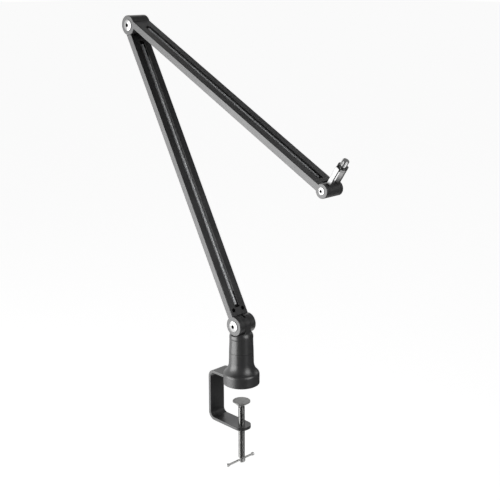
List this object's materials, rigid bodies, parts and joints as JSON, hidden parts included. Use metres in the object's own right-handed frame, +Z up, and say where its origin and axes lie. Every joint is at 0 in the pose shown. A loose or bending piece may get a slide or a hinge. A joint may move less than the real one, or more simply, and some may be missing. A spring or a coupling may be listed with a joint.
{
  "type": "microphone boom arm",
  "caption": "Black sprung desk boom arm with slotted channel arms, round pivot hubs, bell-shaped clamp base with chrome screw, and a tilting chrome yoke with a threaded stud",
  "frame": {"origin": "on the swivel axis at the underside of the foot pad, where the base rests on the desk", "axes": "+Z up along the swivel axis, +X toward the microphone end, +Y along the arm pivots, away from the bolt heads"},
  "size_m": [0.4383, 0.0594, 0.6623],
  "materials": {
    "black_steel": "black powder coat over steel",
    "black_cast": "black powder coat over cast aluminium",
    "black_channel": "black powder coat over extruded aluminium",
    "bright_chrome": "polished chrome plate",
    "zinc_steel": "bright zinc plate",
    "black_screw": "black oxide",
    "bronze": "oiled sintered bronze",
    "nylon": "natural nylon",
    "soft_foot": "matt rubber"
  },
  "bodies": {
    "clamp_base": {"clamp_bracket": "black_steel", "base_bell": "black_cast", "foot_pad": "soft_foot", "base_screws": "zinc_steel", "swivel_bush_lower": "bronze", "swivel_bush_upper": "bronze"},
    "swivel": {"swivel_head": "black_cast", "swivel_shaft": "zinc_steel", "swivel_washer": "zinc_steel", "swivel_nut": "zinc_steel", "shoulder_bushes": "bronze", "shoulder_pin": "zinc_steel"},
    "lower_arm": {"lower_channel": "black_channel", "lower_channel_screws": "black_screw", "shoulder_fork": "black_cast", "fork_set_screws": "black_screw", "elbow_tongue": "black_cast", "elbow_pin": "zinc_steel", "lower_anchor_pin": "zinc_steel", "shoulder_bolt": "bright_chrome", "shoulder_nut": "bright_chrome", "shoulder_washers": "nylon", "elbow_bushes": "bronze", "lower_spring": "zinc_steel", "lower_pull_rod": "zinc_steel", "lower_anchor_rod": "zinc_steel"},
    "upper_arm": {"upper_channel": "black_channel", "upper_channel_screws": "black_screw", "elbow_fork": "black_cast", "end_fork": "black_cast", "upper_anchor_pin": "zinc_steel", "elbow_bolt": "bright_chrome", "elbow_nut": "bright_chrome", "elbow_washers": "nylon", "tilt_bolt": "bright_chrome", "tilt_nut": "bright_chrome", "tilt_washers": "nylon", "upper_spring": "zinc_steel", "upper_pull_rod": "zinc_steel", "upper_anchor_rod": "zinc_steel"},
    "mic_mount": {"tilt_drum": "black_cast", "mic_yoke": "bright_chrome", "mic_stud": "bright_chrome", "stud_nut": "bright_chrome"},
    "clamp_pad": {"pressure_pad": "bright_chrome"},
    "clamp_screw": {"clamp_spindle": "bright_chrome"},
    "tommy": {"tommy_bar": "bright_chrome", "tommy_balls": "bright_chrome"}
  },
  "joints": [
    {"name": "base_swivel", "type": "hinge", "parent": "clamp_base", "child": "swivel", "pos_m": [0, 0, 0.05], "axis": [0, 0, 1], "continuous": true},
    {"name": "shoulder", "type": "hinge", "parent": "swivel", "child": "lower_arm", "pos_m": [0, 0, 0.093], "axis": [0, 1, 0], "range_deg": [-31, 74], "deforming": ["lower_spring", "lower_pull_rod"]},
    {"name": "elbow", "type": "hinge", "parent": "lower_arm", "child": "upper_arm", "pos_m": [-0.2279, 0, 0.51548], "axis": [0, 1, 0], "range_deg": [-106, 26], "deforming": ["upper_spring", "upper_pull_rod"]},
    {"name": "mic_tilt", "type": "hinge", "parent": "upper_arm", "child": "mic_mount", "pos_m": [0.16531, 0, 0.32243], "axis": [0, 1, 0], "range_deg": [-37, 150]},
    {"name": "clamp_travel", "type": "slide", "parent": "clamp_base", "child": "clamp_pad", "axis": [0, 0, 1], "range_m": [-0.027, 0.025]},
    {"name": "clamp_turn", "type": "hinge", "parent": "clamp_pad", "child": "clamp_screw", "pos_m": [0, 0, -0.06], "axis": [0, 0, 1], "range_deg": [-6490, 6010]},
    {"name": "bar_slide", "type": "slide", "parent": "clamp_screw", "child": "tommy", "axis": [0, 1, 0], "range_m": [-0.014, 0.02]}
  ],
  "couplings": [
    {"joint": "clamp_turn", "follows": "clamp_travel", "rad_per_m": 4188.8}
  ]
}
